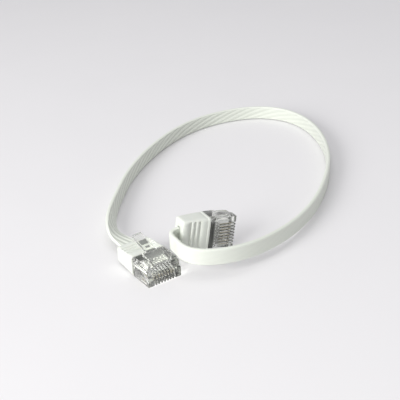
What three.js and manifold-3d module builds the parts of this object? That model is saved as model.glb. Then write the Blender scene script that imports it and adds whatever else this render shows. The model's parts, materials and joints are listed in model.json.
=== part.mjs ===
// Short flat ethernet patch cable: a thin ribbon cable with a clear 8P8C plug and a ribbed white boot on
// each end. The ribbon stands on its long edge on the surface and runs once round in an open loop. Plug A
// lies flat with its latch up; plug B lies on its narrow side inside the loop.
//
// Millimetres, +Z up. The origin is on the flat contact-side face on which plug A rests.
// In a plug's own frame +X points out of the nose, Y is across the eight contacts, +Z is the latch side,
// and the nose ends at x = 0 with the contact-side face at z = 0.

import * as THREE from 'three';
import { mergeVertices } from 'three/addons/utils/BufferGeometryUtils.js';
import Module from 'manifold-3d';

const wasm = await Module();
wasm.setup();

// ---- driving dimensions ------------------------------------------------------------------------------

const GAP = 0.3;                        // clearance kept between neighbouring pieces

// housing, to the usual 8P8C outline
const PLUG_WIDTH = 11.68;
const PLUG_LENGTH = 18.6;
const PLUG_HEIGHT = 6.5;
const CONTACT_COUNT = 8;
const CONTACT_PITCH = 1.02;
const REST_POINT = 8;                   // the origin lies this far behind the nose of plug A

// boot, which grips the rear of the housing
const BOOT_FRONT = -9.1;
const BOOT_REAR = -19.2;
const BOOT_WIDTH = 12.2;
const BOOT_TOP = 6.7;
const BOOT_TAPER = 0.7;                 // how far the broad faces and sides draw in towards the cable
const BOOT_GROOVE = { first: 3.7, pitch: 1.65, count: 3, width: 0.7, depth: 0.45 };
const STEM = { width: 10.4, low: 1.1, high: 5.4 };      // the housing's narrower part, inside the boot

// ribbon cable
const RIBBON_WIDTH = 5.6;
const RIBBON_THICK = 1.4;
const RIBBON_END = -15.4;               // the jacket is stripped from here towards the nose
const RIBBON_LEVEL = 3.4;               // height of the ribbon and the wires in a plug's own frame
const WIRE_RADIUS = 0.3;
const PAIR_PITCH = 1.3;
const PAIR_WIDTH = 0.72;
const PAIR_THICK = 0.4;
const PAIR_BORE = 0.15;                 // air between a pair and the jacket
const RIBBON_STEPS = 2;                 // sections per stretch of the route

// latch lever
const LATCH_PIVOT = { x: -1.5, z: 7.05 };
const LATCH_RAISE = THREE.MathUtils.degToRad(4);
const LATCH = { wide: 6.5, tail: 3.3, shoulder: 5.9, length: 14.4, lift: 2.0, thick: 0.7 };

// where the plugs lie: the nose's contact-side point, the heading of the nose and how far it dips
const PLUG_A = { heading: -56, dip: 0, face: 'up' };
const PLUG_B = { nose: [26.9, 11.8, 5.8], heading: 28, dip: 10, face: 'away' };

// The ribbon's centre line from plug A to plug B: x, y, z, and the lean of its width away from upright,
// outwards, in degrees. It leaves plug A flat and has twisted on to its edge by the time it turns back.
const ROUTE = [
  [-8.9, 13.2, 3.4, 87],
  [-11.3, 16.9, 3.4, 74],
  [-12.9, 20.6, 3.4, 53],
  [-14.0, 25.2, 3.3, 34],
  [-14.5, 31.0, 3.2, 20],
  [-14.3, 37.5, 3.0, 11],
  [-13.4, 46.0, 2.9, 6],
  [-10.6, 62.5, 2.9, 3],
  [-5.8, 78.4, 2.9, 1],
  [0.1, 91.8, 2.9, 0],
  [6.4, 102.6, 2.9, 0],
  [13.6, 111.4, 2.9, 0],
  [22.0, 118.2, 2.9, 0],
  [31.4, 122.7, 2.9, 0],
  [40.6, 124.6, 2.9, 0],
  [48.6, 123.4, 2.9, 0],
  [55.4, 119.4, 2.9, 0],
  [60.8, 112.4, 2.9, 0],
  [64.8, 102.0, 2.9, 0],
  [66.9, 88.0, 2.9, 0],
  [66.6, 73.0, 2.9, 0],
  [64.4, 59.6, 2.9, 0],
  [60.8, 46.5, 3.0, 0],
  [56.0, 33.7, 3.4, 0],
  [50.5, 22.9, 3.9, 0],
  [44.4, 13.7, 4.6, 0],
  [37.4, 5.8, 5.3, 0],
  [30.8, 0.2, 6.0, 0],
  [24.9, -3.1, 6.6, 0],
  [19.8, -4.6, 7.0, 0],
  [15.4, -4.8, 7.3, 0],
  [12.2, -3.9, 7.6, 0],
  [9.95, -2.2, 8.0, 0],
  [8.3, 0.1, 8.5, 0],
  [7.25, 1.65, 8.8, 0],
  [6.8, 3.0, 9.05, 0],
  [7.1, 4.5, 9.2, 0],
];

// ---- materials ---------------------------------------------------------------------------------------

const clear = new THREE.MeshStandardMaterial({
  color: 0xc9ccc6, roughness: 0.12, metalness: 0, transparent: true, opacity: 0.45,
});
const bootWhite = new THREE.MeshStandardMaterial({ color: 0xe8ece4, roughness: 0.45, metalness: 0 });
const jacketWhite = new THREE.MeshStandardMaterial({ color: 0xe6eae1, roughness: 0.4, metalness: 0 });
const gold = new THREE.MeshStandardMaterial({ color: 0xd9b25a, roughness: 0.25, metalness: 1 });
const combGrey = new THREE.MeshStandardMaterial({ color: 0xb9bcb6, roughness: 0.3, metalness: 0 });
const wireWhite = new THREE.MeshStandardMaterial({ color: 0xdedccf, roughness: 0.5, metalness: 0 });
const pairColors = { blue: 0x3c64b4, orange: 0xd98432, green: 0x3f9a58, brown: 0x8a5a3a };

// ---- solids ------------------------------------------------------------------------------------------

function toSolid(geometry) {
  const bare = geometry.clone();
  bare.deleteAttribute('normal');
  bare.deleteAttribute('uv');
  const merged = mergeVertices(bare, 1e-4);
  return new wasm.Manifold(new wasm.Mesh({
    numProp: 3,
    vertProperties: new Float32Array(merged.attributes.position.array),
    triVerts: new Uint32Array(merged.index.array),
  }));
}

function toGeometry(solid) {
  const mesh = solid.getMesh();
  const geometry = new THREE.BufferGeometry();
  geometry.setAttribute('position', new THREE.BufferAttribute(new Float32Array(mesh.vertProperties), 3));
  geometry.setIndex(new THREE.BufferAttribute(new Uint32Array(mesh.triVerts), 1));
  const flat = geometry.toNonIndexed();
  flat.computeVertexNormals();
  return flat;
}

// a block given by its lowest and highest corner
function block(x0, y0, z0, x1, y1, z1) {
  const geometry = new THREE.BoxGeometry(x1 - x0, y1 - y0, z1 - z0);
  geometry.translate((x0 + x1) / 2, (y0 + y1) / 2, (z0 + z1) / 2);
  return toSolid(geometry);
}

function outline(points) {
  return new THREE.Shape(points.map(([x, y]) => new THREE.Vector2(x, y)));
}

// an outline drawn in the X-Z plane, made into a plate of the given width, centred on y
function plate(points, width, y = 0) {
  const geometry = new THREE.ExtrudeGeometry(outline(points), { depth: width, bevelEnabled: false });
  geometry.rotateX(Math.PI / 2);
  geometry.translate(0, y + width / 2, 0);
  return toSolid(geometry);
}

// a solid that changes from one rectangle to another along X, with its long edges cut off
function taperedBar(front, rear, cut) {
  const ring = ({ x, width, low, high }) => {
    const y = width / 2;
    return [
      [x, -y + cut, low], [x, y - cut, low], [x, y, low + cut], [x, y, high - cut],
      [x, y - cut, high], [x, -y + cut, high], [x, -y, high - cut], [x, -y, low + cut],
    ];
  };
  const count = 8;
  const positions = [...ring(front), ...ring(rear)].flat();
  const faces = [];
  for (let i = 0; i < count; i += 1) {
    const j = (i + 1) % count;
    faces.push(i, count + i, j, j, count + i, count + j);
  }
  for (let i = 1; i < count - 1; i += 1) {
    faces.push(0, i, i + 1, count, count + i + 1, count + i);
  }
  const geometry = new THREE.BufferGeometry();
  geometry.setAttribute('position', new THREE.BufferAttribute(new Float32Array(positions), 3));
  geometry.setIndex(faces);
  return toSolid(geometry);
}

const contactY = (index) => (index - (CONTACT_COUNT - 1) / 2) * CONTACT_PITCH;
const contactIndexes = [...Array(CONTACT_COUNT).keys()];

// ---- pieces of one plug, in the plug's own frame -------------------------------------------------------

// The clear shell: a stepped nose with a slot for each contact, a wide recess under the latch, a cross
// slot in front of the boot and a cavity for the wires that opens at the rear.
function housing() {
  const half = PLUG_WIDTH / 2;
  const side = [
    [-0.4, 0], [0, 0.4], [0, 3.2], [-0.7, 3.5], [-1.1, 5.9], [-1.7, PLUG_HEIGHT],
    [BOOT_FRONT, PLUG_HEIGHT], [BOOT_FRONT, 0],
  ];
  const stem = block(-PLUG_LENGTH, -STEM.width / 2, STEM.low, BOOT_FRONT + 0.5, STEM.width / 2, STEM.high);
  let body = plate(side, PLUG_WIDTH).add(stem);
  const wireCavity = block(-8.9, -4.4, 2.95, -1.7, 4.4, 3.95);
  const rearCavity = block(-PLUG_LENGTH - 1, -4.6, 1.7, -8.7, 4.6, 4.8);
  const strainWindow = block(-16.4, -4.4, -1, -12.6, 4.4, 2);
  const crossSlot = block(-8.9, -4.6, -1, -7.8, 4.6, 2);
  const latchRecess = block(-8.9, -4.9, 5.3, -5.9, 4.9, 8);
  const bedSide = [[-6.5, 5.3], [-5.9, 5.3], [-2.9, 6.0], [1, 6.15], [1, 8], [-6.5, 8]];
  const latchBed = plate(bedSide, LATCH.wide + 2 * GAP);
  const sideStep = [-1, 1].map((s) => block(-5.3, s * half - 0.35, 5.5, 1, s * half + 0.35, 8));
  for (const cut of [wireCavity, rearCavity, strainWindow, crossSlot, latchRecess, latchBed, ...sideStep]) {
    body = body.subtract(cut);
  }
  for (const index of contactIndexes) {
    const y = contactY(index);
    body = body.subtract(block(-6.1, y - 0.31, -1, 1, y + 0.31, 2.0));
    body = body.subtract(block(-6.1, y - 0.31, 1.9, -0.9, y + 0.31, 3.1));
  }
  return toGeometry(body);
}

// one gold blade: a rounded wiping edge below and three piercing points towards its wire
function contact(index) {
  const low = 0.45;
  const top = 2.35;
  const points = [
    [-1.2, low + 0.4], [-1.6, low], [-5.0, low], [-5.5, low + 0.5], [-5.5, top], [-5.1, 2.75],
    [-4.7, top], [-3.9, top], [-3.5, 2.75], [-3.1, top], [-2.3, top], [-1.9, 2.75], [-1.5, top], [-1.2, top],
  ];
  return toGeometry(plate(points, 0.3, contactY(index)));
}

// the comb that holds the wires in their order behind the contacts
function loadBar() {
  let bar = block(-11.7, -4.3, 2.1, -9.1, 4.3, 4.6);
  for (const index of contactIndexes) {
    const hole = new THREE.CylinderGeometry(0.43, 0.43, 4, 8);
    hole.rotateZ(Math.PI / 2);
    hole.translate(-10.4, contactY(index), RIBBON_LEVEL);
    bar = bar.subtract(toSolid(hole));
  }
  return toGeometry(bar);
}

// the wedge that is pressed in from the contact side and grips the jacket
function strainBar() {
  const points = [[-13.0, 1.1], [-16.0, 1.1], [-16.0, 1.8], [-15.5, 2.35], [-13.5, 2.35], [-13.0, 1.8]];
  return toGeometry(plate(points, 8.2));
}

// one insulated wire, from the stripped end of the jacket to its contact
function wire(index) {
  const nose = -2.1;
  const tail = RIBBON_END + GAP;
  const geometry = new THREE.CylinderGeometry(WIRE_RADIUS, WIRE_RADIUS, nose - tail, 6);
  geometry.rotateZ(Math.PI / 2);
  geometry.translate((nose + tail) / 2, contactY(index), RIBBON_LEVEL);
  return geometry;
}

// the sleeve of soft plastic: a plain collar, cross grooves on both broad faces, and a slot for the ribbon
function boot() {
  const front = { x: BOOT_FRONT - GAP, width: BOOT_WIDTH, low: 0, high: BOOT_TOP };
  const rear = {
    x: BOOT_REAR, width: BOOT_WIDTH - BOOT_TAPER, low: BOOT_TAPER * 0.7, high: BOOT_TOP - BOOT_TAPER,
  };
  let sleeve = taperedBar(front, rear, 0.6);
  const bore = block(
    -PLUG_LENGTH - GAP, -STEM.width / 2 - GAP, STEM.low - GAP, 0, STEM.width / 2 + GAP, STEM.high + GAP,
  );
  const slotHalf = RIBBON_WIDTH / 2 + GAP;
  const slot = block(
    BOOT_REAR - 1, -slotHalf, RIBBON_LEVEL - RIBBON_THICK / 2 - GAP,
    -PLUG_LENGTH, slotHalf, RIBBON_LEVEL + RIBBON_THICK / 2 + GAP,
  );
  sleeve = sleeve.subtract(bore).subtract(slot);
  const { first, pitch, count, width, depth } = BOOT_GROOVE;
  const reach = BOOT_WIDTH / 2 - 0.9;
  for (let i = 0; i < count; i += 1) {
    const x = BOOT_FRONT - first - i * pitch;
    const floorLow = depth;
    const floorHigh = BOOT_TOP - depth - 0.25;
    sleeve = sleeve.subtract(block(x - width, -reach, -1, x, reach, floorLow));
    sleeve = sleeve.subtract(block(x - width, -reach, floorHigh, x, reach, BOOT_TOP + 1));
  }
  return toGeometry(sleeve);
}

// The latch lever: a wide root with the locking shoulders, then a narrow tail that rises to a finger pad.
// It is drawn with its hinge line at the origin, and its group tilts it.
function latch() {
  const { wide, tail, shoulder, length, lift, thick } = LATCH;
  const root = [
    [0.55, -0.25], [0.2, 0.35], [-1.2, 0.5], [-shoulder, 0.5], [-shoulder, -0.5], [-1.2, -0.45], [0.2, -0.55],
  ];
  const slope = (lift - 0.5) / (length - shoulder);
  const top = (x) => 0.5 + slope * (-x - shoulder);
  const step = -shoulder - 1;
  const arm = [
    [-shoulder + 0.6, 0.4], [-shoulder + 0.6, -0.45], [-shoulder, -0.45], [step, top(step) - thick],
    [-length, lift - thick], [-length, lift], [-shoulder, 0.5],
  ];
  const padFront = -length + 2.6;
  const pad = [
    [padFront, top(padFront) - thick], [-length, lift - thick - 0.25], [-length, lift + 0.15],
    [padFront, top(padFront)],
  ];
  return toGeometry(plate(root, wide).add(plate(arm, tail)).add(plate(pad, tail)));
}

// ---- placing the plugs ---------------------------------------------------------------------------------

// the frame of a plug: heading and dip of its nose, with its latch either up or facing away from the front
function plugFrame({ heading, dip, face, nose }) {
  const turn = THREE.MathUtils.degToRad(heading);
  const down = THREE.MathUtils.degToRad(dip);
  const ahead = new THREE.Vector3(
    Math.cos(turn) * Math.cos(down), Math.sin(turn) * Math.cos(down), -Math.sin(down),
  );
  const level = new THREE.Vector3(-Math.sin(turn), Math.cos(turn), 0);
  const latchSide = face === 'up' ? new THREE.Vector3().crossVectors(ahead, level) : level;
  const across = new THREE.Vector3().crossVectors(latchSide, ahead);
  const place = nose ? new THREE.Vector3(...nose) : ahead.clone().multiplyScalar(REST_POINT);
  return new THREE.Matrix4().makeBasis(ahead, across, latchSide).setPosition(place);
}

const frameA = plugFrame(PLUG_A);
const frameB = plugFrame(PLUG_B);

function piece(name, geometry, material) {
  const mesh = new THREE.Mesh(geometry, material);
  mesh.name = name;
  return mesh;
}

function plug(letter, frame) {
  const group = new THREE.Group();
  const name = (part) => `plug_${letter}_${part}`;
  group.add(piece(name('housing'), housing(), clear));
  for (const index of contactIndexes) {
    group.add(piece(name(`contact_${index + 1}`), contact(index), gold));
    group.add(piece(name(`wire_${index + 1}`), wire(index), wireWhite));
  }
  group.add(piece(name('load_bar'), loadBar(), combGrey));
  group.add(piece(name('strain_bar'), strainBar(), combGrey));
  group.add(piece(name('boot'), boot(), bootWhite));
  const lever = new THREE.Group();
  lever.position.set(LATCH_PIVOT.x, 0, LATCH_PIVOT.z);
  lever.rotation.y = LATCH_RAISE;
  lever.add(piece(name('latch'), latch(), clear));
  group.add(lever);
  group.applyMatrix4(frame);
  return group;
}

// ---- the ribbon ------------------------------------------------------------------------------------------

// The route with its straight ends inside the plugs, each point with the direction of the ribbon's width.
function ribbonStations() {
  const inPlug = (frame, x) => new THREE.Vector3(x, 0, RIBBON_LEVEL).applyMatrix4(frame);
  const up = new THREE.Vector3(0, 0, 1);
  const ends = [RIBBON_END, BOOT_REAR + 1.8, BOOT_REAR, BOOT_REAR - 0.4];
  const startAcross = new THREE.Vector3(0, -1, 0).transformDirection(frameA);
  const endAcross = new THREE.Vector3(0, -1, 0).transformDirection(frameB);
  const start = ends.map((x) => ({ point: inPlug(frameA, x), across: startAcross }));
  const finish = ends.map((x) => ({ point: inPlug(frameB, x), across: endAcross })).reverse();
  const points = ROUTE.map(([x, y, z]) => new THREE.Vector3(x, y, z));
  const middle = ROUTE.map((row, i) => {
    const before = points[i - 1] ?? start.at(-1).point;
    const after = points[i + 1] ?? finish[0].point;
    const along = after.clone().sub(before).normalize();
    const outward = new THREE.Vector3().crossVectors(up, along).normalize();
    const lean = THREE.MathUtils.degToRad(row[3]);
    const across = up.clone().multiplyScalar(Math.cos(lean)).addScaledVector(outward, Math.sin(lean));
    return { point: points[i], across };
  });
  return [...start, ...middle, ...finish];
}

// A path whose sections follow the given width directions, so that a flat section can twist along it.
class RibbonPath extends THREE.CatmullRomCurve3 {
  constructor(stations) {
    super(stations.map((station) => station.point), false, 'centripetal');
    this.widths = new THREE.CatmullRomCurve3(stations.map((station) => station.across));
    this.widths.curveType = 'catmullrom';
    this.widths.tension = 0.5;
  }

  getSpacedPoints(divisions) {
    return this.getPoints(divisions);
  }

  computeFrenetFrames(segments) {
    const frames = { tangents: [], normals: [], binormals: [] };
    for (let i = 0; i <= segments; i += 1) {
      const along = this.getTangent(i / segments);
      const across = this.widths.getPoint(i / segments);
      across.addScaledVector(along, -across.dot(along)).normalize();
      frames.tangents.push(along);
      frames.normals.push(across);
      frames.binormals.push(new THREE.Vector3().crossVectors(along, across));
    }
    return frames;
  }
}

const stations = ribbonStations();
const path = new RibbonPath(stations);

// a closed section swept along the ribbon; its x runs across the width and its y across the thickness
function sweep(section) {
  const options = {
    extrudePath: path, steps: (stations.length - 1) * RIBBON_STEPS, bevelEnabled: false, curveSegments: 1,
  };
  const geometry = new THREE.ExtrudeGeometry(section, options);
  geometry.deleteAttribute('normal');
  geometry.deleteAttribute('uv');
  return mergeVertices(geometry, 1e-4);
}

// an upright oval of six points
function oval(x, width, thick) {
  const w = width / 2;
  const t = thick / 2;
  return [[x - w, 0], [x - w / 2, -t], [x + w / 2, -t], [x + w, 0], [x + w / 2, t], [x - w / 2, t]];
}

const pairX = (index) => (index - 1.5) * PAIR_PITCH;

// the jacket: a flat section with rounded corners and four lengthwise bores
function jacket() {
  const w = RIBBON_WIDTH / 2;
  const t = RIBBON_THICK / 2;
  const corner = 0.4;
  const section = outline([
    [-w + corner, -t], [w - corner, -t], [w, -t + corner], [w, t - corner],
    [w - corner, t], [-w + corner, t], [-w, t - corner], [-w, -t + corner],
  ]);
  for (let i = 0; i < 4; i += 1) {
    const bore = oval(pairX(i), PAIR_WIDTH + 2 * PAIR_BORE, PAIR_THICK + 2 * PAIR_BORE);
    section.holes.push(new THREE.Path(bore.map(([x, y]) => new THREE.Vector2(x, y))));
  }
  return sweep(section);
}

// ---- the whole cable ----------------------------------------------------------------------------------

const cable = new THREE.Group();
cable.add(plug('a', frameA));
cable.add(plug('b', frameB));
cable.add(piece('cable_jacket', jacket(), jacketWhite));
Object.entries(pairColors).forEach(([color, hex], index) => {
  const material = new THREE.MeshStandardMaterial({ color: hex, roughness: 0.5, metalness: 0 });
  const pair = sweep(outline(oval(pairX(index), PAIR_WIDTH, PAIR_THICK)));
  cable.add(piece(`wire_pair_${color}`, pair, material));
});

export default cable;
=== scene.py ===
"""Looks of a short flat ethernet patch cable: a white ribbon cable in an open loop, standing on its edge,
with a clear modular plug and a ribbed white boot on each end.

Every piece is modelled in millimetres, a plug's pieces in the plug's own frame: +X out of the nose, Y
across the eight contacts, +Z the latch side, with the nose at x = 0 and the contact side at z = 0. They
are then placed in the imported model's frame, in metres.
"""

import json
import math

import bmesh
import bpy
import numpy as np
from mathutils import Matrix, Vector


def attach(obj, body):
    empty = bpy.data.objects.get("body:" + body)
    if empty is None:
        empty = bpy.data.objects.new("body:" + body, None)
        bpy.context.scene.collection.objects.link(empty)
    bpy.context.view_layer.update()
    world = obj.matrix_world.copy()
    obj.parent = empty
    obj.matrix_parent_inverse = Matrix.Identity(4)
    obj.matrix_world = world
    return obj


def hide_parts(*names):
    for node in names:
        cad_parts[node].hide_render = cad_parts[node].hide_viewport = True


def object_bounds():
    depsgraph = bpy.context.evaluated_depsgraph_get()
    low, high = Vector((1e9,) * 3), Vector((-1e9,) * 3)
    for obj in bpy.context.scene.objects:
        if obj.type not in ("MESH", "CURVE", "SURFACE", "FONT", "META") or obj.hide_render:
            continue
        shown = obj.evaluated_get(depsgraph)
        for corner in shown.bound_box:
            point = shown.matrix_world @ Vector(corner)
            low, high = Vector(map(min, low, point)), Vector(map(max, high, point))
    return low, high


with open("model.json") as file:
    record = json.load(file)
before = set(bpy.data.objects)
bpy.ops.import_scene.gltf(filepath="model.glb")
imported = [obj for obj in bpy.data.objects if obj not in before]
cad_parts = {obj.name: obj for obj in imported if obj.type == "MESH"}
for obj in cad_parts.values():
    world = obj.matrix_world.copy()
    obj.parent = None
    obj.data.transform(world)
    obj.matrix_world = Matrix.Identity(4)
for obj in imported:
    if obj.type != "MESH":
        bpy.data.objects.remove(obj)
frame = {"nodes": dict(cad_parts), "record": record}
cad_low, cad_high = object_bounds()

MM = 0.001

# the plug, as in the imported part
GAP = 0.3
CONTACT_COUNT = 8
CONTACT_PITCH = 1.02
PLUG_WIDTH = 11.68
PLUG_LENGTH = 18.6
PLUG_HEIGHT = 6.5
STEM = {"width": 10.4, "low": 1.1, "high": 5.4}
NOSE_MOUNT_HEIGHT = 2.6  # the nose mount's point lies this far above the contact side
LATCH_PIVOT = (-1.5, 0.0, 7.05)
LATCH_RAISE = math.radians(4)
LATCH = {"wide": 6.5, "tail": 3.3, "shoulder": 5.9, "length": 14.4, "lift": 2.0, "thick": 0.7}

BOOT_FRONT = -9.4
BOOT_REAR = -19.2
BOOT_WIDTH = 12.2
BOOT_TOP = 6.7
BOOT_TAPER = 0.7
GROOVES = {"first": -12.8, "pitch": 1.65, "count": 3, "width": 0.7, "depth": 0.45}

RIBBON_WIDTH = 5.6
RIBBON_THICK = 1.4
RIBBON_END = -15.4
RIBBON_LEVEL = 3.4
WIRE_FRONT = -2.1
WIRE_RADIUS = 0.3
PAIR_PITCH = 1.3
STRAND_PITCH = 1.9
STRAND_SLOPE = 0.3
STRAND_DEPTH = {1: 0.25, -1: 0.04}  # on the loop's inner face, and faintly on its outer one
STRAND_MARGIN = (0.2, 0.7)  # the relief starts between these distances from the ribbon's edges
STRAND_FADE = (105, 165, 0.35)  # the relief fades between these lengths from plug A, down to this share

# The ribbon's centre line between the plugs, in metres, with the lean of its width away from upright,
# outwards, in degrees.
ROUTE = [
    (-0.0089, 0.0132, 0.0034, 87),
    (-0.0113, 0.0169, 0.0034, 74),
    (-0.0129, 0.0206, 0.0034, 53),
    (-0.0140, 0.0252, 0.0033, 34),
    (-0.0145, 0.0310, 0.0032, 20),
    (-0.0143, 0.0375, 0.0030, 11),
    (-0.0134, 0.0460, 0.0029, 6),
    (-0.0106, 0.0625, 0.0029, 3),
    (-0.0058, 0.0784, 0.0029, 1),
    (0.0001, 0.0918, 0.0029, 0),
    (0.0064, 0.1026, 0.0029, 0),
    (0.0136, 0.1114, 0.0029, 0),
    (0.0220, 0.1182, 0.0029, 0),
    (0.0314, 0.1227, 0.0029, 0),
    (0.0406, 0.1246, 0.0029, 0),
    (0.0486, 0.1234, 0.0029, 0),
    (0.0554, 0.1194, 0.0029, 0),
    (0.0608, 0.1124, 0.0029, 0),
    (0.0648, 0.1020, 0.0029, 0),
    (0.0669, 0.0880, 0.0029, 0),
    (0.0666, 0.0730, 0.0029, 0),
    (0.0644, 0.0596, 0.0029, 0),
    (0.0608, 0.0465, 0.0030, 0),
    (0.0560, 0.0337, 0.0034, 0),
    (0.0505, 0.0229, 0.0039, 0),
    (0.0444, 0.0137, 0.0046, 0),
    (0.0374, 0.0058, 0.0053, 0),
    (0.0308, 0.0002, 0.0060, 0),
    (0.0249, -0.0031, 0.0066, 0),
    (0.0198, -0.0046, 0.0070, 0),
    (0.0154, -0.0048, 0.0073, 0),
    (0.0122, -0.0039, 0.0076, 0),
    (0.00995, -0.0022, 0.0080, 0),
    (0.0083, 0.0001, 0.0085, 0),
    (0.00725, 0.00165, 0.0088, 0),
    (0.0068, 0.0030, 0.00905, 0),
    (0.0071, 0.0045, 0.0092, 0),
]


# ---- camera, lights, floor -----------------------------------------------------------------------


def make_camera():
    """A view from the front, looking down on the loop, a little rolled."""
    data = bpy.data.cameras.new("camera")
    data.lens = 76
    data.sensor_width = 36
    data.clip_start = 0.01
    camera = bpy.data.objects.new("camera", data)
    bpy.context.collection.objects.link(camera)
    place = Matrix.Translation((0.0162, -0.2259, 0.1393))
    tilt = Matrix.Rotation(math.radians(90 - 27), 4, "X")
    roll = Matrix.Rotation(math.radians(-2.7), 4, "Z")
    camera.matrix_world = place @ tilt @ roll
    bpy.context.scene.camera = camera


def soft_light(name, place, target, size, power, color=(1, 1, 1)):
    data = bpy.data.lights.new(name, "AREA")
    data.shape = "DISK"
    data.size = size
    data.energy = power
    data.color = color
    light = bpy.data.objects.new(name, data)
    bpy.context.collection.objects.link(light)
    light.location = place
    light.rotation_mode = "QUATERNION"
    light.rotation_quaternion = (Vector(target) - Vector(place)).to_track_quat("-Z", "Y")


def make_lights():
    """A low key from the left front, and a large soft light above."""
    middle = (cad_low + cad_high) / 2
    soft_light("key", middle + Vector((-0.58, -0.61, 0.36)), middle, 0.45, 6.8, (1, 0.995, 0.98))
    soft_light("overhead", middle + Vector((-0.05, -0.1, 0.9)), middle, 0.9, 2.2)
    world = bpy.data.worlds.new("studio")
    world.use_nodes = True
    world.node_tree.nodes["Background"].inputs["Color"].default_value = (0.93, 0.93, 0.95, 1)
    world.node_tree.nodes["Background"].inputs["Strength"].default_value = 0.58
    bpy.context.scene.world = world
    bpy.context.scene.view_settings.view_transform = "Standard"


# ---- node materials ------------------------------------------------------------------------------


class Material:
    """A node material with one Principled shader, and short ways to add procedural detail to it."""

    def __init__(self, name, color, roughness, **values):
        self.data = bpy.data.materials.new(name)
        self.data.use_nodes = True
        self.tree = self.data.node_tree
        self.shader = self.tree.nodes["Principled BSDF"]
        self.shader.inputs["Base Color"].default_value = (*color, 1)
        self.shader.inputs["Roughness"].default_value = roughness
        for socket, value in values.items():
            self.shader.inputs[socket.replace("_", " ")].default_value = value
        self.height = None
        self.data.diffuse_color = (*color, 1)

    def node(self, kind, **inputs):
        node = self.tree.nodes.new(kind)
        for socket, value in inputs.items():
            node.inputs[socket.replace("_", " ")].default_value = value
        return node

    def link(self, source, target):
        self.tree.links.new(source, target)

    def place(self):
        return self.node("ShaderNodeTexCoord").outputs["Object"]

    def noise(self, scale, detail=3.0, stretch=None):
        texture = self.node("ShaderNodeTexNoise", Scale=scale, Detail=detail)
        where = self.place()
        if stretch:
            mapping = self.node("ShaderNodeMapping")
            mapping.inputs["Scale"].default_value = stretch
            self.link(where, mapping.inputs["Vector"])
            where = mapping.outputs["Vector"]
        self.link(where, texture.inputs["Vector"])
        return texture.outputs["Fac"]

    def spread(self, value, low, high, start=0.3, end=0.7):
        """value moved from start..end to low..high."""
        node = self.node("ShaderNodeMapRange")
        for socket, number in zip(("From Min", "From Max", "To Min", "To Max"), (start, end, low, high)):
            node.inputs[socket].default_value = number
        self.link(value, node.inputs["Value"])
        return node.outputs["Result"]

    def mix(self, value, first, second):
        node = self.node("ShaderNodeMix")
        node.data_type = "RGBA"
        node.inputs[6].default_value = (*first, 1)
        node.inputs[7].default_value = (*second, 1)
        self.link(value, node.inputs[0])
        return node.outputs[2]

    def vary_color(self, value, first, second):
        self.link(self.mix(value, first, second), self.shader.inputs["Base Color"])

    def vary_roughness(self, value, low, high):
        self.link(self.spread(value, low, high), self.shader.inputs["Roughness"])

    def bump(self, value, distance, strength=1.0):
        node = self.node("ShaderNodeBump", Strength=strength, Distance=distance)
        self.link(value, node.inputs["Height"])
        if self.height is not None:
            self.link(self.height, node.inputs["Normal"])
        self.height = node.outputs["Normal"]
        self.link(self.height, self.shader.inputs["Normal"])
        return self


def jacket_material():
    """Extruded white PVC: satin, with a faint green cast, fine drawing marks and slight handling marks, and
    painted shade darkening the furrows between the strands.
    """
    m = Material("jacket_pvc", (0.73, 0.76, 0.69), 0.42, Coat_Weight=0.12, Coat_Roughness=0.3)
    # Painted shade: the colour goes darker where the surface is hollow, in the furrows between the strands
    painted_furrow_shade = m.spread(m.node("ShaderNodeNewGeometry").outputs["Pointiness"], 0.0, 1.0, 0.465, 0.505)
    m.vary_color(painted_furrow_shade, (0.40, 0.43, 0.37), (0.73, 0.76, 0.69))
    m.vary_roughness(m.noise(900, 3), 0.36, 0.5)
    m.bump(m.noise(5200, 3), 0.00002, 0.35)
    m.bump(m.noise(420, 2), 0.00005, 0.3)
    return m.data


def boot_material():
    """Soft moulded white plastic with the fine spark grain of its mould."""
    m = Material(
        "boot_plastic", (0.72, 0.745, 0.69), 0.48, Subsurface_Weight=0.12, Subsurface_Scale=0.0008,
    )
    m.shader.inputs["Subsurface Radius"].default_value = (1.0, 0.95, 0.85)
    m.vary_color(m.noise(320, 4), (0.70, 0.725, 0.67), (0.74, 0.765, 0.71))
    m.vary_roughness(m.noise(1400, 3), 0.42, 0.56)
    m.bump(m.noise(7000, 2), 0.00002, 0.5)
    return m.data


def clear_material(name="clear_polycarbonate", tint=(0.975, 0.985, 0.955), roughness=0.03, clearness=0.97):
    """Clear polycarbonate, faintly smoky, with flow marks from moulding."""
    m = Material(name, tint, roughness, IOR=1.45, Transmission_Weight=clearness)
    darker = tuple(c * 0.96 for c in tint)
    m.vary_color(m.noise(500, 2), darker, tint)
    m.vary_roughness(m.noise(700, 2), roughness, roughness + 0.05)
    m.bump(m.noise(450, 1), 0.00003, 0.1)
    return m.data


def gold_material():
    """Thin dull gold over nickel, with fine wiping scratches."""
    m = Material("contact_gold", (0.50, 0.45, 0.34), 0.2, Metallic=1.0)
    m.vary_color(m.noise(1500, 3), (0.42, 0.38, 0.29), (0.58, 0.52, 0.39))
    m.vary_roughness(m.noise(3000, 2), 0.14, 0.34)
    m.bump(m.noise(6000, 2, (1, 8, 1)), 0.00001, 0.4)
    return m.data


def wire_material(name, color):
    """Satin polyethylene insulation."""
    m = Material(name, color, 0.4)
    darker = tuple(c * 0.88 for c in color)
    m.vary_color(m.noise(1800, 3), darker, color)
    m.vary_roughness(m.noise(2600, 2), 0.32, 0.5)
    m.bump(m.noise(5000, 2), 0.00001, 0.4)
    return m.data


def floor_material():
    m = Material("floor_paper", (0.80, 0.79, 0.80), 0.7)
    m.vary_color(m.noise(6, 3), (0.775, 0.765, 0.78), (0.80, 0.79, 0.80))
    m.vary_roughness(m.noise(40, 2), 0.62, 0.75)
    m.bump(m.noise(900, 3), 0.00008, 0.12)
    return m.data


# ---- mesh helpers --------------------------------------------------------------------------------


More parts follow.
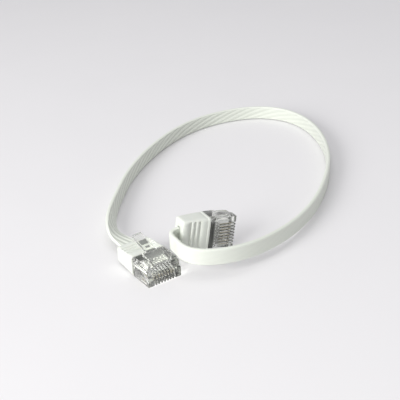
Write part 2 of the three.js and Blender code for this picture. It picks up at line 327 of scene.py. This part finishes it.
def add_object(name, points, faces):
    data = bpy.data.meshes.new(name)
    data.from_pydata([tuple(p) for p in points], [], faces)
    data.update()
    made = bpy.data.objects.new(name, data)
    bpy.context.collection.objects.link(made)
    return made


def finish_mesh(made, matrix, material, sharp=35):
    """Places a millimetre mesh, with outward faces, smooth shading and one material or a list of them."""
    mesh = bmesh.new()
    mesh.from_mesh(made.data)
    bmesh.ops.recalc_face_normals(mesh, faces=mesh.faces)
    mesh.to_mesh(made.data)
    mesh.free()
    made.data.transform(matrix)
    made.data.shade_smooth()
    made.data.set_sharp_from_angle(angle=math.radians(sharp))
    materials = material if isinstance(material, list) else [material]
    for each in materials:
        made.data.materials.append(each)
    return made


def mark_faces(made, boxes):
    """Gives the second material, the painted shade of the recesses, to the faces whose middles lie inside
    one of the boxes.
    """
    for face in made.data.polygons:
        middle = face.center
        for low, high in boxes:
            if all(low[i] < middle[i] < high[i] for i in range(3)):
                face.material_index = 1


def settle(made):
    """Replaces the object's mesh by what its modifiers make of it."""
    graph = bpy.context.evaluated_depsgraph_get()
    graph.update()
    result = bpy.data.meshes.new_from_object(made.evaluated_get(graph), depsgraph=graph)
    old = made.data
    made.modifiers.clear()
    made.data = result
    result.name = made.name
    bpy.data.meshes.remove(old)
    return made


def combine(base, tool, operation):
    """base joined with or cut by tool; the tool is used up."""
    modifier = base.modifiers.new("combine", "BOOLEAN")
    modifier.operation = operation
    modifier.solver = "EXACT"
    modifier.object = tool
    settle(base)
    bpy.data.objects.remove(tool, do_unlink=True)
    return base


def cut(base, *tools):
    for tool in tools:
        combine(base, tool, "DIFFERENCE")
    return base


def join(base, *tools):
    for tool in tools:
        combine(base, tool, "UNION")
    return base


def soften(made, width, segments=2, angle=30):
    """Rounds every edge sharper than the angle."""
    modifier = made.modifiers.new("edges", "BEVEL")
    modifier.width = width
    modifier.segments = segments
    modifier.limit_method = "ANGLE"
    modifier.angle_limit = math.radians(angle)
    modifier.use_clamp_overlap = True
    return settle(made)


def block(x0, y0, z0, x1, y1, z1):
    points = [(x, y, z) for x in (x0, x1) for y in (y0, y1) for z in (z0, z1)]
    faces = [(0, 1, 3, 2), (4, 6, 7, 5), (0, 4, 5, 1), (2, 3, 7, 6), (0, 2, 6, 4), (1, 5, 7, 3)]
    return add_object("block", points, faces)


def plate(outline, width, y=0.0):
    """An outline in the X-Z plane made into a plate of that width, centred on y."""
    count = len(outline)
    points = [(x, y + side * width / 2, z) for side in (-1, 1) for x, z in outline]
    around = [(i, (i + 1) % count, count + (i + 1) % count, count + i) for i in range(count)]
    caps = [tuple(range(count)), tuple(range(2 * count - 1, count - 1, -1))]
    made = add_object("plate", points, around + caps)
    mesh = bmesh.new()
    mesh.from_mesh(made.data)
    bmesh.ops.recalc_face_normals(mesh, faces=mesh.faces)
    mesh.to_mesh(made.data)
    mesh.free()
    return made


def rod(x0, x1, y, z, radius, sides=14):
    """A round bar along X."""
    turn = [2 * math.pi * i / sides for i in range(sides)]
    points = [(x, y + radius * math.cos(t), z + radius * math.sin(t)) for x in (x0, x1) for t in turn]
    around = [(i, (i + 1) % sides, sides + (i + 1) % sides, sides + i) for i in range(sides)]
    caps = [tuple(range(sides - 1, -1, -1)), tuple(range(sides, 2 * sides))]
    return add_object("rod", points, around + caps)


def skin(name, rings, closed_ends):
    """A mesh through equal rings of points. Its ends are closed with faces, or meet each other."""
    count, size = len(rings), len(rings[0])
    points = [p for ring in rings for p in ring]
    last = count if not closed_ends else count - 1
    faces = []
    for i in range(last):
        a, b = i * size, (i + 1) % count * size
        for j in range(size):
            k = (j + 1) % size
            faces.append((a + j, a + k, b + k, b + j))
    if closed_ends:
        faces.append(tuple(range(size - 1, -1, -1)))
        faces.append(tuple(range((count - 1) * size, count * size)))
    return add_object(name, points, faces)


def smoothstep(low, high, value):
    t = min(max((value - low) / (high - low), 0.0), 1.0)
    return t * t * (3 - 2 * t)


def contact_y(index):
    return (index - (CONTACT_COUNT - 1) / 2) * CONTACT_PITCH


# ---- the ribbon ----------------------------------------------------------------------------------


def plug_matrix(letter):
    """A plug's own frame, in metres, from its nose mount and its latch's hinge axis."""
    mount = next(m for m in frame["record"]["mounts"] if m["name"] == f"plug_{letter}_nose")
    joint = next(j for j in frame["record"]["behaviour"]["joints"] if j["name"] == f"latch_{letter}_press")
    ahead = Vector(mount["axis"]).normalized()
    across = -Vector(joint["axis"]).normalized()
    latch_side = ahead.cross(across)
    origin = Vector(mount["pos_m"]) - latch_side * NOSE_MOUNT_HEIGHT * MM
    matrix = Matrix((ahead, across, latch_side)).transposed().to_4x4()
    return Matrix.Translation(origin) @ matrix


MATRIX = {letter: plug_matrix(letter) for letter in "ab"}
MILLI = {letter: MATRIX[letter] @ Matrix.Scale(MM, 4) for letter in "ab"}


def ribbon_stations():
    """The route with its straight ends inside the plugs, and the direction of the ribbon's width at each."""
    up = Vector((0, 0, 1))
    ends = [RIBBON_END, BOOT_REAR + 1.8, BOOT_REAR, BOOT_REAR - 0.4]

    def end_points(letter):
        across = (MATRIX[letter].to_3x3() @ Vector((0, -1, 0))).normalized()
        return [(MILLI[letter] @ Vector((x, 0, RIBBON_LEVEL)), across) for x in ends]

    start, finish = end_points("a"), end_points("b")[::-1]
    points = [Vector(row[:3]) for row in ROUTE]
    chain = [start[-1][0], *points, finish[0][0]]
    middle = []
    for i, point in enumerate(points):
        along = (chain[i + 2] - chain[i]).normalized()
        outward = up.cross(along).normalized()
        lean = math.radians(ROUTE[i][3])
        middle.append((point, up * math.cos(lean) + outward * math.sin(lean)))
    return start + middle + finish


def centripetal(points, per_stretch):
    """A smooth line through the points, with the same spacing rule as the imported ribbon."""
    pts = [np.array(p, float) for p in points]
    pts = [2 * pts[0] - pts[1], *pts, 2 * pts[-1] - pts[-2]]
    line = []
    for i in range(1, len(pts) - 2):
        p0, p1, p2, p3 = pts[i - 1:i + 3]
        d0, d1, d2 = (max(np.linalg.norm(b - a) ** 0.5, 1e-6) for a, b in ((p0, p1), (p1, p2), (p2, p3)))
        t1 = ((p1 - p0) / d0 - (p2 - p0) / (d0 + d1) + (p2 - p1) / d1) * d1
        t2 = ((p2 - p1) / d1 - (p3 - p1) / (d1 + d2) + (p3 - p2) / d2) * d1
        for k in range(per_stretch):
            t = k / per_stretch
            line.append(
                p1 * (2 * t**3 - 3 * t**2 + 1) + t1 * (t**3 - 2 * t**2 + t)
                + p2 * (3 * t**2 - 2 * t**3) + t2 * (t**3 - t**2)
            )
    line.append(pts[-2])
    return np.array(line)


def ribbon_line(step=0.42):
    """Evenly spaced centre points of the ribbon, its width directions and its length, in millimetres."""
    stations = ribbon_stations()
    line = centripetal([p for p, _ in stations], 24) / MM
    widths = np.array([w for _, w in stations], float)
    share = np.linspace(0, len(stations) - 1, len(line))
    across = np.stack([np.interp(share, range(len(stations)), widths[:, i]) for i in range(3)], axis=1)
    kernel = np.ones(25) / 25
    padded = np.pad(across, ((12, 12), (0, 0)), mode="edge")
    across = np.stack([np.convolve(padded[:, i], kernel, "valid") for i in range(3)], axis=1)
    run = np.concatenate([[0], np.cumsum(np.linalg.norm(np.diff(line, axis=0), axis=1))])
    length = run[-1]
    even = np.linspace(0, length, int(length / step) + 1)
    centre = np.stack([np.interp(even, run, line[:, i]) for i in range(3)], axis=1)
    wide = np.stack([np.interp(even, run, across[:, i]) for i in range(3)], axis=1)
    along = np.gradient(centre, axis=0)
    along /= np.linalg.norm(along, axis=1)[:, None]
    wide -= (wide * along).sum(axis=1)[:, None] * along
    wide /= np.linalg.norm(wide, axis=1)[:, None]
    return centre, wide, np.cross(along, wide), even


def ribbon_relief(run, v, face):
    """How far a broad face stands out: slanted strands, each with finer ones on it, inside smooth edges."""
    slant = math.pi * (v - face * STRAND_SLOPE * run) / STRAND_PITCH + 0.9 * math.sin(run / 9)
    strand = math.cos(slant) ** 2
    fine = abs(math.cos(3 * slant + 0.7))
    start, end, least = STRAND_FADE
    share = 1 - (1 - least) * smoothstep(start, end, run)
    from_edge = RIBBON_WIDTH / 2 - abs(v)
    edge = smoothstep(*STRAND_MARGIN, from_edge)
    return STRAND_DEPTH[face] * share * (edge * (0.75 * strand + 0.25 * fine) - 1)


def ribbon_section():
    """Points round the ribbon's section as (v, w, face): v across the width, w through the thickness."""
    half_width, half_thick, corner = RIBBON_WIDTH / 2, RIBBON_THICK / 2, 0.45
    flat = np.linspace(-half_width + corner, half_width - corner, 33)
    turn = np.linspace(-math.pi / 2, math.pi / 2, 9)[1:-1]
    edge = [
        (
            half_width - corner + corner * math.cos(t),
            (half_thick - corner) * math.sin(t) + corner * math.sin(t), 0,
        )
        for t in turn
    ]
    lower = [(v, -half_thick, -1) for v in flat]
    upper = [(-v, half_thick, 1) for v in flat]
    return lower + edge + upper + [(-v, -w, 0) for v, w, _ in edge]


def make_ribbon():
    centre, wide, thick, run = ribbon_line()
    section = ribbon_section()
    rings = []
    for c, a, n, s in zip(centre, wide, thick, run):
        ring = []
        for v, w, face in section:
            if face:
                w += face * ribbon_relief(s, v, face)
            ring.append(c + a * v + n * w)
        rings.append(ring)
    made = skin("cable_jacket_skin", rings, closed_ends=True)
    finish_mesh(made, Matrix.Scale(MM, 4), jacket_material(), sharp=60)
    path = [tuple(c * MM) for c in centre]
    return made, path, run[-1] * MM


make_camera()
jacket, jacket_path, jacket_length = make_ribbon()


# ---- pieces of a plug ----------------------------------------------------------------------------


def rounded_ring(x, half_width, low, high, radius, press=0.0):
    """A rounded rectangle across X; press pushes the middles of the two broad faces in."""
    corners = [
        (half_width - radius, high - radius, 0), (-half_width + radius, high - radius, 90),
        (-half_width + radius, low + radius, 180), (half_width - radius, low + radius, 270),
    ]
    reach = BOOT_WIDTH / 2 - 0.9
    ring = []
    for i, (cy, cz, start) in enumerate(corners):
        arc = []
        for k in range(7):
            t = math.radians(start + 15 * k)
            arc.append((cy + radius * math.cos(t), cz + radius * math.sin(t)))
        ring += arc
        ny, nz, nstart = corners[(i + 1) % 4]
        t = math.radians(nstart)
        goal = (ny + radius * math.cos(t), nz + radius * math.sin(t))
        steps = 22 if i % 2 == 0 else 9
        for k in range(1, steps):
            s = k / steps
            ring.append((arc[-1][0] * (1 - s) + goal[0] * s, arc[-1][1] * (1 - s) + goal[1] * s))
    middle = (low + high) / 2
    points = []
    for y, z in ring:
        on_face = min(abs(z - low), abs(z - high)) < 0.35 * radius
        inward = press * smoothstep(reach + 0.18, reach - 0.18, abs(y)) if on_face else 0.0
        points.append((x, y, z + inward if z < middle else z - inward))
    return points


def boot_profile():
    """Stations along the boot from front to rear: x, how far the skin is drawn in, and the groove depth."""
    front = [(0, 0.2), (0.07, 0.05), (0.2, 0), (0.75, 0), (0.82, 0.1), (1.0, 0.14), (1.15, 0.1), (2.2, 0.02)]
    stations = [(BOOT_FRONT - along, drawn, 0) for along, drawn in front]
    depth, width = GROOVES["depth"], GROOVES["width"]
    wall = [(-0.16, 0), (-0.05, 0.25), (0.02, 0.85), (0.12, 1)]
    for i in range(GROOVES["count"]):
        start = GROOVES["first"] - i * GROOVES["pitch"]
        stations += [(start - along, 0.02, share * depth) for along, share in wall]
        stations += [(start - width + along, 0.02, share * depth) for along, share in reversed(wall)]
    rear = [(1.1, 0.02), (0.5, 0.06), (0.22, 0.2), (0.06, 0.42), (0, 0.75)]
    return stations + [(BOOT_REAR + along, drawn, 0) for along, drawn in rear]


def make_boot(name, matrix, material):
    """The sleeve: outer skin front to rear, in through the cable slot, and forward again along the bore."""
    rings = []
    for x, drawn, press in boot_profile():
        share = (BOOT_FRONT - x) / (BOOT_FRONT - BOOT_REAR)
        half = BOOT_WIDTH / 2 - share * BOOT_TAPER / 2 - drawn
        low = share * BOOT_TAPER * 0.7 + drawn
        high = BOOT_TOP - share * BOOT_TAPER - drawn
        rings.append(rounded_ring(x, half, low, high, max(0.95 - drawn, 0.3), press))
    slot_half = RIBBON_WIDTH / 2 + 0.12
    slot_low, slot_high = RIBBON_LEVEL - RIBBON_THICK / 2 - 0.12, RIBBON_LEVEL + RIBBON_THICK / 2 + 0.12
    wall = BOOT_REAR + 0.4
    for x, grow in ((BOOT_REAR, 0.4), (BOOT_REAR + 0.1, 0.16), (BOOT_REAR + 0.25, 0.02), (wall, 0.0)):
        rings.append(rounded_ring(x, slot_half + grow, slot_low - grow, slot_high + grow, 0.3 + grow))
    bore = STEM["width"] / 2 + 0.12, STEM["low"] - 0.12, STEM["high"] + 0.12
    for x, grow in ((wall, 0.0), (BOOT_FRONT - 0.3, 0.0), (BOOT_FRONT - 0.05, 0.05)):
        rings.append(rounded_ring(x, bore[0] + grow, bore[1] - grow, bore[2] + grow, 0.3))
    made = skin(name, rings, closed_ends=False)
    return finish_mesh(made, matrix, material, sharp=50)


def make_housing(name, matrix, material):
    """The clear shell, with its slots, wire channels, recesses and stepped nose."""
    half = PLUG_WIDTH / 2
    rear = BOOT_FRONT + GAP
    side = [
        (-0.35, 0), (-0.1, 0.1), (0, 0.35), (0, 3.1), (-0.12, 3.25), (-0.7, 3.5), (-1.1, 5.9), (-1.35, 6.3),
        (-1.7, PLUG_HEIGHT), (rear, PLUG_HEIGHT), (rear, 0),
    ]
    body = plate(side, PLUG_WIDTH)
    stem_half = STEM["width"] / 2
    join(body, block(-PLUG_LENGTH, -stem_half, STEM["low"], rear + 0.5, stem_half, STEM["high"]))
    bed = [(-6.5, 8), (-6.5, 5.3), (-5.9, 5.3), (-2.9, 6.0), (1, 6.15), (1, 8)]
    cut(
        body,
        block(-PLUG_LENGTH - 1, -4.6, 1.7, -8.7, 4.6, 4.8),
        block(-16.4, -4.4, -1, -12.6, 4.4, 2),
        block(-8.9, -4.6, -1, -7.8, 4.6, 2),
        block(-8.9, -4.9, 5.3, -5.9, 4.9, 8),
        plate(bed, LATCH["wide"] + 2 * GAP),
    )
    for side_sign in (-1, 1):
        edge = side_sign * half
        cut(body, block(-5.3, edge - 0.35, 5.5, 1, edge + 0.35, 8))
    for index in range(CONTACT_COUNT):
        y = contact_y(index)
        cut(
            body,
            block(-6.1, y - 0.31, -1, 1, y + 0.31, 2.0),
            block(-6.1, y - 0.31, 1.9, -0.9, y + 0.31, 3.0),
            rod(-9.5, -1.7, y, RIBBON_LEVEL, 0.42),
            block(-7.5, y - 0.2, -1, -6.8, y + 0.2, 1.2),
        )
    body.name = name
    soften(body, 0.09)
    # The walls of the cross slot and of the hollow before the latch get the dark second material: painted
    # shade
    mark_faces(body, [((-9.0, -5, -0.1), (-7.7, 5, 2.1)), ((-9.0, -5, 5.2), (-5.8, 5, 6.45))])
    return finish_mesh(body, matrix, material, sharp=32)


def make_latch(name, matrix, material):
    """The lever, drawn about its hinge line and then tilted: web, wide root, shoulders, tail and pad."""
    wide, tail, length, lift = LATCH["wide"], LATCH["tail"], LATCH["length"], LATCH["lift"]
    shoulder, thick = LATCH["shoulder"], LATCH["thick"]
    root = [
        (0.62, -0.82), (0.78, -0.45), (0.6, 0.05), (0.1, 0.36), (-1.2, 0.5), (-shoulder, 0.5),
        (-shoulder, -0.5), (-1.2, -0.42), (-0.35, -0.5), (0.15, -0.82),
    ]
    lever = plate(root, wide)
    slope = (lift - 0.5) / (length - shoulder)

    def top(x):
        return 0.5 + slope * (-x - shoulder)

    step, pad_front = -shoulder - 1, -length + 2.6
    arm = [
        (-shoulder + 0.6, 0.4), (-shoulder + 0.6, -0.45), (-shoulder, -0.45), (step, top(step) - thick),
        (-length, lift - thick), (-length, lift), (-shoulder, 0.5),
    ]
    pad = [
        (pad_front, top(pad_front) - thick), (-length, lift - thick - 0.25), (-length, lift + 0.15),
        (pad_front, top(pad_front)),
    ]
    join(lever, plate(arm, tail), plate(pad, tail))
    tail_windows = [(-length + 3.1, -length + 5.2, tail - 0.7), (-length + 6.2, -length + 6.9, tail - 1.9)]
    for rear, front, across in tail_windows:
        floor = [(x, top(x) - 0.18) for x in (rear, front)]
        cut(lever, plate([*floor, (front, 3), (rear, 3)], across))
    cut(lever, plate([(-1.7, 0.36), (-shoulder + 0.8, 0.36), (-shoulder + 0.8, 2), (-1.7, 2)], wide - 2.4))
    lever.name = name
    soften(lever, 0.1)
    # The floors and lower walls of the tail windows get the dark second material: painted shade
    for rear, front, across in tail_windows:
        deep = top(rear) - 0.1
        low, high = (rear - 0.1, -across / 2, deep - 0.7), (front + 0.1, across / 2, deep)
        mark_faces(lever, [(low, high)])
    placed = Matrix.Translation(LATCH_PIVOT) @ Matrix.Rotation(LATCH_RAISE, 4, "Y")
    return finish_mesh(lever, matrix @ placed, material, sharp=32)


def make_wires(name, matrix, material):
    """The eight insulated wires in one piece: round bars that fan out of the stripped jacket."""
    points, faces = [], []
    sides = 12
    for index in range(CONTACT_COUNT):
        y_front = contact_y(index)
        y_rear = (index // 2 - 1.5) * PAIR_PITCH + (index % 2 - 0.5) * 0.62
        xs = [WIRE_FRONT, -8.0, -11.9, -12.8, -13.6, -14.5, RIBBON_END + 0.1]
        base = len(points)
        for x in xs:
            share = smoothstep(-11.9, -14.5, x)
            y = y_front * (1 - share) + y_rear * share
            for k in range(sides):
                t = 2 * math.pi * k / sides
                across, up = WIRE_RADIUS * math.cos(t), WIRE_RADIUS * math.sin(t)
                points.append((x, y + across, RIBBON_LEVEL + up))
        for i in range(len(xs) - 1):
            for k in range(sides):
                a, b = base + i * sides + k, base + i * sides + (k + 1) % sides
                faces.append((a, b, b + sides, a + sides))
        faces.append(tuple(range(base + sides - 1, base - 1, -1)))
        last = base + (len(xs) - 1) * sides
        faces.append(tuple(range(last, last + sides)))
    made = add_object(name, points, faces)
    return finish_mesh(made, matrix, material)


def dress_node(name, material, width=None):
    """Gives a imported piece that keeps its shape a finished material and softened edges."""
    node = frame["nodes"][name]
    node.data.materials.clear()
    node.data.materials.append(material)
    if width:
        modifier = node.modifiers.new("edges", "BEVEL")
        modifier.width = width * MM
        modifier.segments = 2
        modifier.limit_method = "ANGLE"
        modifier.angle_limit = math.radians(30)
    return node


def make_plug(letter, materials):
    """Every piece of one plug. Returns the shown pieces."""
    name = f"plug_{letter}_{{}}".format
    matrix = MILLI[letter]
    shown = []
    housing = make_housing(name("housing_shell"), matrix, [materials["clear"], materials["shade"]])
    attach(housing, "root")
    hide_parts(name("housing"))
    housing.visible_shadow = False
    boot = make_boot(name("boot_sleeve"), matrix, materials["boot"])
    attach(boot, "root")
    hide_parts(name("boot"))
    latch = make_latch(name("latch_lever"), matrix, [materials["clear"], materials["shade"]])
    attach(latch, f"latch_{letter}")
    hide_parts(name("latch"))
    latch.visible_shadow = False
    wires = make_wires(name("wires"), matrix, materials["wire"])
    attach(wires, "root")
    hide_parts(*[name(f"wire_{i + 1}") for i in range(CONTACT_COUNT)])
    shown += [housing, boot, latch, wires]
    shown += [dress_node(name(f"contact_{i + 1}"), materials["gold"], 0.05) for i in range(CONTACT_COUNT)]
    shown += [dress_node(name(part), materials["comb"], 0.08) for part in ("load_bar", "strain_bar")]
    return shown


def make_floor():
    size = 3.0
    points = [(-size, -size, 0), (size, -size, 0), (size, size, 0), (-size, size, 0)]
    floor = add_object("floor", points, [(0, 1, 2, 3)])
    floor.location.z = cad_low.z - 0.0001
    floor.data.materials.append(floor_material())


# ---- the whole scene -----------------------------------------------------------------------------

materials = {
    "boot": boot_material(),
    "clear": clear_material(),
    # A dark, less clear copy of the plastic: painted shade for the walls of the deep recesses
    "shade": clear_material("clear_recess_painted_shade", (0.2, 0.205, 0.2), 0.3, 0.4),
    "comb": clear_material("comb_plastic", (0.86, 0.87, 0.84), 0.2, 0.6),
    "gold": gold_material(),
    "wire": wire_material("wire_insulation", (0.78, 0.79, 0.76)),
}
make_plug("a", materials)
plug_b = make_plug("b", materials)
PAIR_COLORS = {
    "blue": (0.07, 0.16, 0.48), "orange": (0.72, 0.27, 0.05), "green": (0.06, 0.34, 0.12),
    "brown": (0.23, 0.10, 0.05),
}
pairs = [
    dress_node(f"wire_pair_{color}", wire_material(f"pair_{color}", value))
    for color, value in PAIR_COLORS.items()
]

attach(jacket, "root")
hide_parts("cable_jacket")

make_lights()
make_floor()
